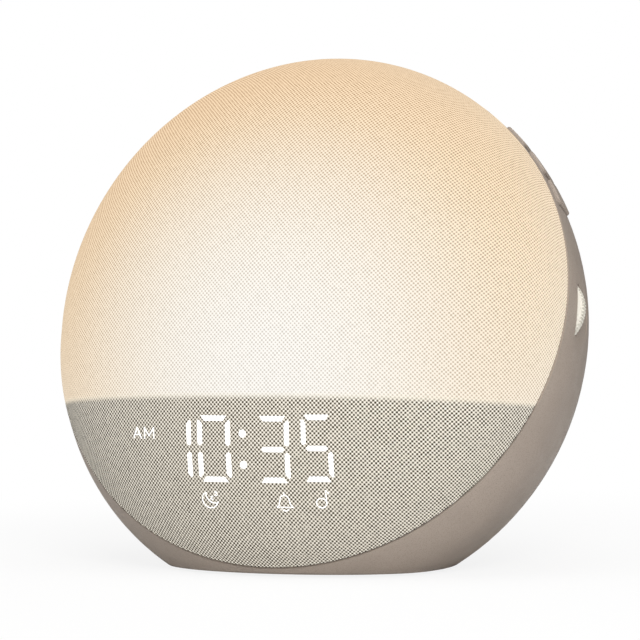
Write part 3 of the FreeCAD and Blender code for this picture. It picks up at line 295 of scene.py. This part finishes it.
def metal(name, colour, rough=0.3, scale=900.0):
    """Plated or drawn metal with fine rubbed marks."""
    t = Tree(name)
    stretch = t.new("ShaderNodeMapping")
    t.feed(stretch.inputs[0], t.place)
    stretch.inputs["Scale"].default_value = (1.0, 1.0, 12.0)
    fine = t.new("ShaderNodeTexNoise")
    t.feed(fine.inputs["Vector"], stretch.outputs[0])
    fine.inputs["Scale"].default_value = scale
    marks = fine.outputs["Fac"]
    t.set(
        Base_Color=t.blend(t.span(t.noise(160.0), 0.3, 0.7), tint(colour, 0.86), colour),
        Roughness=t.span(marks, 0.3, 0.7, rough - 0.08, rough + 0.12),
        Metallic=1.0,
    )
    t.bump(marks, 0.00001)
    return t.material


def board(name):
    """Circuit board: green resist over copper runs, with small gold pads."""
    t = Tree(name)
    bricks = t.new("ShaderNodeTexBrick")
    t.feed(bricks.inputs["Vector"], t.place)
    bricks.inputs["Scale"].default_value = 260.0
    bricks.inputs["Mortar Size"].default_value = 0.03
    runs = bricks.outputs["Fac"]
    pads = t.span(t.cells(420.0), 0.18, 0.12)
    green = t.blend(runs, (0.012, 0.075, 0.03), (0.03, 0.16, 0.06))
    t.set(
        Base_Color=t.blend(pads, green, (0.55, 0.4, 0.14)),
        Roughness=t.span(t.noise(90.0), 0.3, 0.7, 0.28, 0.42),
        Metallic=t.span(pads, 0.0, 1.0, 0.0, 0.8),
    )
    t.bump(runs, 0.00003)
    return t.material


def rubber(name, colour, grain=1500.0):
    t = Tree(name)
    fine = t.noise(grain, 4.0)
    dust = t.span(t.noise(75.0, 5.0), 0.45, 0.75)
    t.set(
        Base_Color=t.blend(dust, colour, tint(colour, 1.5)),
        Roughness=t.span(fine, 0.3, 0.7, 0.68, 0.85),
        Specular_IOR_Level=0.3,
    )
    t.bump(fine, 0.00006)
    return t.material


def pulp(name, colour):
    """Pressed paper of the speaker's cone, with fibres."""
    t = Tree(name)
    fibres = t.noise(1900.0, 6.0, 0.75)
    t.set(
        Base_Color=t.blend(t.span(fibres, 0.35, 0.65), tint(colour, 0.6), tint(colour, 1.6)),
        Roughness=t.span(fibres, 0.3, 0.7, 0.75, 0.92),
    )
    t.bump(fibres, 0.00008)
    return t.material


def chips(name, colour):
    """Light chip: phosphor pool in a white body."""
    t = Tree(name)
    pool = t.span(t.cells(520.0), 0.35, 0.5)
    t.set(
        Base_Color=t.blend(pool, colour, (0.9, 0.9, 0.86)),
        Roughness=t.span(t.noise(700.0), 0.3, 0.7, 0.25, 0.4),
    )
    t.bump(pool, 0.00005)
    return t.material


def face_place(t):
    """Place on the face in shares of the radius: across, up, and distance squared."""
    across = t.sum("DIVIDE", t.along(ACROSS), RADIUS)
    up = t.sum("DIVIDE", t.along(BODY_UP), RADIUS)
    far = t.sum("ADD", t.sum("MULTIPLY", across, across), t.sum("MULTIPLY", up, up))
    return across, up, far


def wave(t, way, pitch, spread, stray):
    """Wave along one way of the lattice."""
    place = t.sum("MULTIPLY", t.along(way), spread)
    turn = t.sum("MULTIPLY", place, 2 * math.pi / pitch)
    return t.sum("COSINE", t.sum("ADD", turn, stray))


def knit(t):
    """Lattice of the knit, laid along the dome: +1 in a hole, -1 on a crossing of threads."""
    far = face_place(t)[2]
    spread = t.sum("MULTIPLY", t.sum("POWER", far, RIM_SPREAD_POWER), RIM_SPREAD)
    spread = t.sum("ADD", spread, t.sum("MULTIPLY", far, FACE_SPREAD))
    spread = t.sum("ADD", spread, 1.0)
    stray = t.sum("MULTIPLY", t.sum("SUBTRACT", t.noise(420.0, 2.0), 0.5), KNIT_STRAY)
    way = Vector((0, math.sin(KNIT_TILT), math.cos(KNIT_TILT)))
    across = wave(t, ACROSS, KNIT_ACROSS, spread, stray)
    along = wave(t, way, KNIT_ALONG, spread, stray)
    return t.sum("MULTIPLY", across, along)


def warm_share(t):
    """How warm the glow is: more with height and towards the rim, less to the right."""
    across, up, far = face_place(t)
    rise = t.sum("SUBTRACT", up, GLOW_FOOT)
    far_square = t.sum("MULTIPLY", far, far)
    terms = (
        (rise, WARM_RISE),
        (t.sum("MULTIPLY", rise, rise), WARM_RISE_BEND),
        (across, WARM_ACROSS),
        (far, WARM_RIM),
        (t.sum("MULTIPLY", far_square, far_square), WARM_RIM_BEND),
    )
    warm = 0.0
    for value, weight in terms:
        warm = t.sum("ADD", warm, t.sum("MULTIPLY", value, weight))
    return warm


def cover_material():
    """Knitted cover: lit from behind above the baffle, unlit below it."""
    t = Tree("knitted_cover")
    lattice = knit(t)
    threads = t.sum("MULTIPLY", lattice, -1.0)
    uneven = t.sum("MULTIPLY", t.sum("SUBTRACT", t.noise(650.0, 2.0), 0.5), KNIT_UNEVEN)
    opening = t.sum("ADD", lattice, uneven)
    hole = t.span(opening, -0.22, 0.62)
    pore = t.span(opening, -0.05, 0.72)
    crossing = t.span(t.sum("ADD", threads, uneven), 0.1, 1.0)

    normal = Vector((0, math.sin(BAFFLE_SLOPE), math.cos(BAFFLE_SLOPE)))
    above = t.along(normal, Vector((0, -BAFFLE_REACH, BAFFLE_HEIGHT)))
    lit = t.span(above, LIT_FROM, LIT_FULL)
    rising = t.span(above, FRINGE_LOW, FRINGE_PEAK)
    falling = t.span(above, FRINGE_HIGH, FRINGE_PEAK)
    fringe = t.sum("MULTIPLY", rising, falling, clamp=True)

    warm = warm_share(t)
    warmth = t.span(warm, *WARM_RANGE, soft=False)
    shade = t.blend(pore, GLOW_THREAD, t.blend(warmth, *GLOW_HOLE))
    shade = t.blend(crossing, shade, t.blend(warmth, *GLOW_CROSSING))
    glow = t.blend(1.0, t.ramp(warm, GLOW_RAMP), shade, "MULTIPLY")
    glow = t.blend(t.sum("MULTIPLY", fringe, FRINGE_SHARE), glow, FRINGE_GLOW)

    thread = t.blend(crossing, t.blend(t.noise(30.0), *UNLIT_THREAD), UNLIT_CROSSING)
    unlit = t.blend(hole, thread, UNLIT_HOLE)
    t.set(
        Base_Color=t.blend(lit, unlit, t.blend(hole, LIT_THREAD, LIT_HOLE)),
        Roughness=t.span(lattice, -1.0, 1.0, 0.72, 0.95),
        Specular_IOR_Level=0.15,
        Sheen_Weight=0.08,
        Emission_Color=glow,
        Emission_Strength=t.sum("MULTIPLY", lit, GLOW_STRENGTH),
    )
    t.bump(threads, 0.00022, 0.55)
    return t.material


def lit_material(name, thin=False):
    """White light seen through the knit; thin strokes break up over the holes."""
    t = Tree(name)
    lattice = knit(t)
    over_hole = (0.36, 0.35, 0.31) if thin else (0.96, 0.96, 0.95)
    t.set(
        Base_Color=t.blend(t.span(lattice, 0.2, 0.9), (0.5, 0.5, 0.5), (0.42, 0.42, 0.41)),
        Roughness=t.span(lattice, -1.0, 1.0, 0.6, 0.8),
        Specular_IOR_Level=0.1,
        Emission_Color=t.blend(t.span(lattice, 0.1, 0.9), (1.0, 1.0, 0.995), over_hole),
        Emission_Strength=1.0,
    )
    return t.material


def dial(name):
    """Cream dial: plain sides, rows of small dots round the rim, darkened with painted shade.
    """
    t = Tree(name)
    dots = t.span(t.cells(950.0), 0.42, 0.18)
    cream = t.blend(t.noise(120.0), (0.74, 0.71, 0.63), (0.80, 0.77, 0.69))
    # painted shade: the knurl dots are darkened in colour
    t.set(
        Base_Color=t.blend(t.sum("MULTIPLY", dots, 0.25), cream, (0.50, 0.47, 0.40)),
        Roughness=t.span(dots, 0.0, 1.0, 0.42, 0.6),
        Specular_IOR_Level=0.35,
    )
    t.bump(dots, 0.00012, 0.5)
    return t.material


# Cover and lit shapes
def make_cover():
    """Stretched cover: dome, rounded edge and hem turned in behind the rim."""
    centre = CENTRE + SEAM_OUT * SEAM_OFFSET
    mesh = bmesh.new()
    crown = mesh.verts.new(surface_hit(centre, SEAM_OUT))
    ways = []
    for turn in range(COVER_TURNS):
        angle = 2 * math.pi * turn / COVER_TURNS
        ways.append(ACROSS * math.cos(angle) + SEAM_UP * math.sin(angle))
    rim = [surface_hit(centre, way) for way in ways]
    rows = []
    for ring in range(1, COVER_RINGS):
        share = math.sin(math.pi / 2 * ring / COVER_RINGS)
        rows.append([surface_hit(centre.lerp(point, share), SEAM_OUT) for point in rim])
    rows = [r for r in rows if (r[0] - centre).dot(SEAM_OUT) > ROUND_CLEARANCE]

    # Rounded edge and hem, row by row round the rim
    inward = [(centre - point).normalized() for point in rim]
    outward = [surface_normal(point) for point in rim]
    hearts = [p + (SEAM_OUT - out) * EDGE_ROUND for p, out in zip(rim, outward)]
    for step in range(EDGE_STEPS):
        bend = math.pi / 2 * step / (EDGE_STEPS - 1)
        sink = SEAM_OUT * (EDGE_ROUND * math.sin(bend))
        reach = EDGE_ROUND * math.cos(bend)
        rows.append([heart + out * reach - sink for heart, out in zip(hearts, outward)])
    for share in HEM_SHARES:
        sink = SEAM_OUT * EDGE_ROUND
        reach = HEM_WIDTH * share
        rows.append([heart - sink + way * reach for heart, way in zip(hearts, inward)])

    rows = [[mesh.verts.new(p) for p in row] for row in rows]
    for turn in range(COVER_TURNS):
        after = (turn + 1) % COVER_TURNS
        mesh.faces.new((crown, rows[0][turn], rows[0][after]))
        for low, high in zip(rows, rows[1:]):
            mesh.faces.new((low[turn], high[turn], high[after], low[after]))
    bmesh.ops.recalc_face_normals(mesh, faces=mesh.faces)
    obj = object_from("knit_cover", mesh)
    smooth(obj)
    thicken(obj, COVER_THICK, -1)
    obj.data.materials.append(cover_material())
    return obj


PATCH_PROUD = 0.00004
PATCH_THICK = 0.00010
PATCH_CELL = 0.0012


def lie(x, z, proud):
    """Point proud of the cover, straight in front of a place of the display."""
    point = surface_hit(Vector((DISPLAY_X + x, 0, DISPLAY_Z + z)), Vector((0, -1, 0)))
    return point + surface_normal(point) * proud


def patch(name, outlines, material):
    """Thin lit shape that follows the dome; outlines are closed runs of x, z."""
    mesh = bmesh.new()
    for outline in outlines:
        mesh.faces.new([mesh.verts.new((x, 0, z)) for x, z in outline])
    bmesh.ops.triangulate(mesh, faces=mesh.faces[:])
    for axis in (0, 2):
        way = Vector((1, 0, 0)) if axis == 0 else Vector((0, 0, 1))
        low = min(v.co[axis] for v in mesh.verts)
        high = max(v.co[axis] for v in mesh.verts)
        place = math.ceil(low / PATCH_CELL) * PATCH_CELL
        while place < high:
            parts = mesh.verts[:] + mesh.edges[:] + mesh.faces[:]
            bmesh.ops.bisect_plane(mesh, geom=parts, plane_co=way * place, plane_no=way)
            place += PATCH_CELL
    for vert in mesh.verts:
        vert.co = lie(vert.co.x, vert.co.z, PATCH_PROUD)
    for face in mesh.faces:
        face.normal_update()
        if face.normal.y > 0:
            face.normal_flip()
    obj = object_from(name, mesh)
    smooth(obj)
    thicken(obj, PATCH_THICK, 1)
    obj.data.materials.append(material)
    return obj


def stroke(points, width):
    """Outlines of a round-jointed line through points."""
    half = width / 2
    shapes = []
    for (x0, z0), (x1, z1) in zip(points, points[1:]):
        length = math.hypot(x1 - x0, z1 - z0)
        sx = -(z1 - z0) / length * half
        sz = (x1 - x0) / length * half
        shapes.append([
            (x0 + sx, z0 + sz), (x1 + sx, z1 + sz), (x1 - sx, z1 - sz), (x0 - sx, z0 - sz),
        ])
    for x, z in points:
        shapes.append([
            (x + half * math.cos(a), z + half * math.sin(a))
            for a in (math.pi / 4 * n for n in range(8))
        ])
    return shapes


def arc(x, z, radius, start, end, steps=18):
    turns = [math.radians(start + (end - start) * n / steps) for n in range(steps + 1)]
    return [(x + radius * math.cos(a), z + radius * math.sin(a)) for a in turns]


# Marks are drawn in small steps from their own middle
ICON_STEP_X = 0.000355
ICON_STEP_Z = 0.000325


def drawn(x, z, runs, width):
    """Strokes along runs of steps measured from x, z."""
    shapes = []
    for run in runs:
        shapes += stroke([(x + a * ICON_STEP_X, z + b * ICON_STEP_Z) for a, b in run], width)
    return shapes


DIGIT_WIDTH = 0.0120
DIGIT_HEIGHT = 0.0222
BAR = 0.00174
GAP = 0.00042               # at the ends of the level bars
END_GAP = 0.00068           # at the ends of the upright bars
COLON_PLACE = -0.0002
COLON_RISE = 0.0052
COLON_RADIUS = 0.00131


def bar_shapes():
    """Seven bars of one digit about its middle, outer edges longer than inner ones."""
    w = DIGIT_WIDTH / 2
    h = DIGIT_HEIGHT / 2
    g = GAP
    e = END_GAP
    b = BAR
    top = [
        (-w + b * 0.5 + g, h), (w - b * 0.5 - g, h),
        (w - b * 1.25 - g, h - b), (-w + b * 1.25 + g, h - b),
    ]
    upper = [
        (w, h - b * 0.72 - e), (w - b * 0.3, h - b * 0.42 - e), (w - b, h - b * 1.2 - e),
        (w - b, b * 0.62 + e), (w - b * 0.45, b * 0.2 + e), (w, b * 0.66 + e),
    ]
    centre = [
        (-w + b * 0.7 + g, 0), (-w + b * 1.3 + g, b / 2), (w - b * 1.3 - g, b / 2),
        (w - b * 0.7 - g, 0), (w - b * 1.3 - g, -b / 2), (-w + b * 1.3 + g, -b / 2),
    ]

    def flip(shape, sx, sz):
        return [(x * sx, z * sz) for x, z in shape]

    return {
        "a": top, "b": upper, "c": flip(upper, 1, -1), "d": flip(top, 1, -1),
        "e": flip(upper, -1, -1), "f": flip(upper, -1, 1), "g": centre,
    }


# Digits as the knit shows them: place across, stretch, rise and lit bars
DIGITS = (
    (-0.02603, 1.0, -0.0001, "bc"),
    (-0.01113, 1.056, 0.0, "abcdef"),
    (0.01073, 0.98, 0.0, "abcdg"),
    (0.02616, 0.884, 0.00045, "acdfg"),
)


def make_digits():
    material = lit_material("digit_light")
    shapes = bar_shapes()
    pieces = []
    for number, (place, stretch, rise, bars) in enumerate(DIGITS, 1):
        outlines = [[(x * stretch + place, z + rise) for x, z in shapes[bar]] for bar in bars]
        pieces.append(patch(f"lit_digit_{number}", outlines, material))
    dots = [arc(COLON_PLACE, z, COLON_RADIUS, 0, 345, 23) for z in (COLON_RISE, -COLON_RISE)]
    pieces.append(patch("lit_colon", dots, material))
    return pieces


LINE = 0.00032
FINE_LINE = 0.00025
LETTER_LINE = 0.00041
LETTER_HEIGHT = 0.0037
FIRST_LETTER = (-0.04445, 0.0029)
SECOND_LETTER = (-0.03955, 0.0029)
MOON_PLACE = (-0.01405, -0.0172)
BELL_PLACE = (0.0137, -0.0170)
NOTE_PLACE = (0.02648, -0.01775)


def letter(place, runs):
    """Strokes of a letter: widths in metres, heights in shares of the letter's height."""
    shapes = []
    for run in runs:
        points = [(place[0] + x, place[1] + LETTER_HEIGHT * z) for x, z in run]
        shapes += stroke(points, LETTER_LINE)
    return shapes


def day_half():
    return letter(FIRST_LETTER, [
        [(0, 0), (0.0017, 1), (0.0034, 0)],
        [(0.0006, 0.33), (0.0028, 0.33)],
    ]) + letter(SECOND_LETTER, [
        [(0, 0), (0, 1), (0.0020, 0.25), (0.0040, 1), (0.0040, 0)],
    ])


def moon():
    """Crescent with two small zigzags in its bay."""
    return drawn(*MOON_PLACE, [
        arc(0, 0, 8.6, 118, 346),
        arc(4.9, 5.6, 9.0, 166, 296),
    ], LINE) + drawn(*MOON_PLACE, [
        [(0.6, 3.4), (3.4, 3.4), (0.6, 0.6), (3.4, 0.6)],
        [(5.2, 8.1), (8.6, 8.1), (5.2, 4.7), (8.6, 4.7)],
    ], FINE_LINE)


def bell():
    """Body, knob and clapper."""
    side = [(8.0, -6.9), (5.7, -4.2), (4.9, -1.0), (4.5, 1.6), (3.2, 4.3)]
    body = [(-x, z) for x, z in side] + [(0, 5.6)] + side[::-1] + [(-8.0, -6.9)]
    clapper = [(-3.4, -8.7), (-2.2, -10.1), (0, -10.8), (2.2, -10.1), (3.4, -8.7)]
    return drawn(*BELL_PLACE, [body, [(0, 5.6), (0, 8.0)], clapper], LINE)


def note():
    """Round head, stem and short flag."""
    return drawn(*NOTE_PLACE, [
        arc(0, 0, 4.9, 0, 360, 24),
        [(4.8, 0.5), (4.6, 13.2), (6.8, 11.0), (7.8, 9.4)],
    ], LINE)


def make_marks():
    material = lit_material("mark_light", thin=True)
    marks = (("day_half", day_half), ("moon", moon), ("bell", bell), ("note", note))
    return [patch(f"lit_{name}", shapes(), material) for name, shapes in marks]


CASING = (0.335, 0.280, 0.236)

# Finish of each material slot of the record
FINISH = {
    "diffuser_plastic": lambda n: moulded(n, (0.86, 0.85, 0.82), 0.45, 1800.0),
    "lens_plastic": lambda n: moulded(n, (0.88, 0.88, 0.87), 0.25, 1800.0, 0.00001),
    "panel_plastic": lambda n: moulded(n, (0.05, 0.045, 0.04), 0.55),
    "reflector_plastic": lambda n: moulded(n, (0.87, 0.87, 0.86), 0.22, 1500.0, 0.00001),
    "circuit_board": board,
    "light_chips": lambda n: chips(n, (0.86, 0.62, 0.12)),
    "screw_steel": lambda n: metal(n, (0.55, 0.55, 0.57), 0.32),
    "frame_plastic": lambda n: moulded(n, (0.035, 0.032, 0.030), 0.5),
    "casing_plastic": lambda n: moulded(n, CASING, 0.52, 3000.0, 0.00005, 0.035, 0.32),
    "dial_plastic": dial,
    "plated_steel": lambda n: metal(n, (0.62, 0.62, 0.62), 0.25),
    "black_plastic": lambda n: moulded(n, (0.012, 0.012, 0.012), 0.4),
    "copper_film": lambda n: metal(n, (0.70, 0.36, 0.16), 0.3),
    "rubber": lambda n: rubber(n, (0.022, 0.021, 0.020)),
    "capacitor_can": lambda n: metal(n, (0.20, 0.24, 0.38), 0.35),
    "cell_steel": lambda n: metal(n, (0.72, 0.72, 0.70), 0.18),
    "cone_paper": lambda n: pulp(n, (0.02, 0.02, 0.02)),
    "lead_sheath": lambda n: rubber(n, (0.015, 0.015, 0.015), 2400.0),
}


def dress_nodes():
    """Every CAD node but the fabric cover takes the material of its slot in the record."""
    finishes = {}
    for entry in frame["record"]["subparts"]:
        slot = entry["material_slot"]
        if entry["node"] == "fabric_cover":
            continue
        if slot not in finishes:
            finishes[slot] = FINISH[slot](slot)
        data = frame["nodes"][entry["node"]].data
        data.materials.clear()
        data.materials.append(finishes[slot])


dress_nodes()
cover = make_cover()
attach(cover, "base")
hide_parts("fabric_cover")
for piece in make_digits() + make_marks():
    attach(piece, "base")


# Studio
FLOOR_SIZE = 3.0
FLOOR_DROP = 0.0002
FLOOR_BRIGHT_NEAR = 0.86    # share of plain white that the camera sees beside the foot
FLOOR_NEAR = 0.10
FLOOR_FAR = 0.34
FILL = 0.295
LAMPS = (
    ("key", (0.75, -1.15, 0.85), (0, 0, 0.07), 0.7, 18.0),
    ("top", (0.1, -0.1, 1.4), (0, 0, 0.08), 0.9, 7.6),
    ("side", (-1.3, -0.8, 0.7), (0, 0, 0.08), 0.6, 3.2),
)

# Camera fitted to the photo; its middle is given in pixels of the square picture
CAMERA_PLACE = Vector((0.4409, -0.9691, 0.1128))
CAMERA_AZIMUTH = math.radians(24.47)
CAMERA_ROLL = math.radians(-1.1)
CAMERA_LENS = 173.28
CAMERA_SENSOR = 36.0
PICTURE_SIZE = 640
PICTURE_MIDDLE = (314.016, 329.079)


def make_floor():
    mesh = bmesh.new()
    for x, y in ((-1, -1), (1, -1), (1, 1), (-1, 1)):
        mesh.verts.new((x * FLOOR_SIZE, y * FLOOR_SIZE, -FLOOR_DROP))
    mesh.faces.new(mesh.verts)
    floor = object_from("floor", mesh)
    t = Tree("floor_paper")
    t.set(
        Base_Color=t.blend(t.noise(9.0), (0.84, 0.84, 0.84), (0.87, 0.87, 0.87)),
        Roughness=t.span(t.noise(300.0), 0.3, 0.7, 0.7, 0.85),
        Specular_IOR_Level=0.1,
    )
    out = t.tree.nodes["Material Output"]
    white = t.new("ShaderNodeEmission")
    white.inputs[0].default_value = (1, 1, 1, 1)
    path = t.new("ShaderNodeLightPath")
    mix = t.new("ShaderNodeMixShader")
    radius = t.new("ShaderNodeVectorMath", operation="LENGTH")
    t.feed(radius.inputs[0], t.place)
    share = t.span(radius.outputs["Value"], FLOOR_NEAR, FLOOR_FAR, FLOOR_BRIGHT_NEAR, 1.0)
    t.feed(mix.inputs[0], t.sum("MULTIPLY", path.outputs["Is Camera Ray"], share))
    t.tree.links.new(t.shader.outputs[0], mix.inputs[1])
    t.tree.links.new(white.outputs[0], mix.inputs[2])
    t.tree.links.new(mix.outputs[0], out.inputs[0])
    floor.data.materials.append(t.material)


def make_world():
    world = bpy.data.worlds.new("studio")
    bpy.context.scene.world = world
    world.use_nodes = True
    nodes = world.node_tree.nodes
    links = world.node_tree.links
    fill = nodes["Background"]
    fill.inputs[0].default_value = (1.0, 0.985, 0.965, 1)
    fill.inputs[1].default_value = FILL
    backdrop = nodes.new("ShaderNodeBackground")
    backdrop.inputs[0].default_value = (1, 1, 1, 1)
    backdrop.inputs[1].default_value = 1.0
    path = nodes.new("ShaderNodeLightPath")
    mix = nodes.new("ShaderNodeMixShader")
    links.new(path.outputs["Is Camera Ray"], mix.inputs[0])
    links.new(fill.outputs[0], mix.inputs[1])
    links.new(backdrop.outputs[0], mix.inputs[2])
    links.new(mix.outputs[0], nodes["World Output"].inputs[0])


def make_lamp(name, place, target, size, power):
    data = bpy.data.lights.new(name, "AREA")
    data.size = size
    data.energy = power
    lamp = bpy.data.objects.new(name, data)
    bpy.context.scene.collection.objects.link(lamp)
    lamp.location = place
    lamp.rotation_euler = (Vector(target) - Vector(place)).to_track_quat("-Z", "Y").to_euler()


def make_camera():
    """Camera fitted to the photo's outline, seam, base line and digits."""
    ahead = (CENTRE - CAMERA_PLACE).normalized()
    level = Vector((math.cos(CAMERA_AZIMUTH), math.sin(CAMERA_AZIMUTH), 0))
    upward = level.cross(ahead)
    right = level * math.cos(CAMERA_ROLL) + upward * math.sin(CAMERA_ROLL)
    up = right.cross(ahead)
    data = bpy.data.cameras.new("camera")
    data.lens = CAMERA_LENS
    data.sensor_width = CAMERA_SENSOR
    data.shift_x = 0.5 - PICTURE_MIDDLE[0] / PICTURE_SIZE
    data.shift_y = PICTURE_MIDDLE[1] / PICTURE_SIZE - 0.5
    data.clip_start = 0.05
    camera = bpy.data.objects.new("camera", data)
    bpy.context.scene.collection.objects.link(camera)
    turn = Matrix((right, up, -ahead)).transposed()
    camera.matrix_world = Matrix.Translation(CAMERA_PLACE) @ turn.to_4x4()
    bpy.context.scene.camera = camera


make_floor()
make_world()
for settings in LAMPS:
    make_lamp(*settings)
make_camera()
bpy.context.scene.view_settings.view_transform = "Standard"
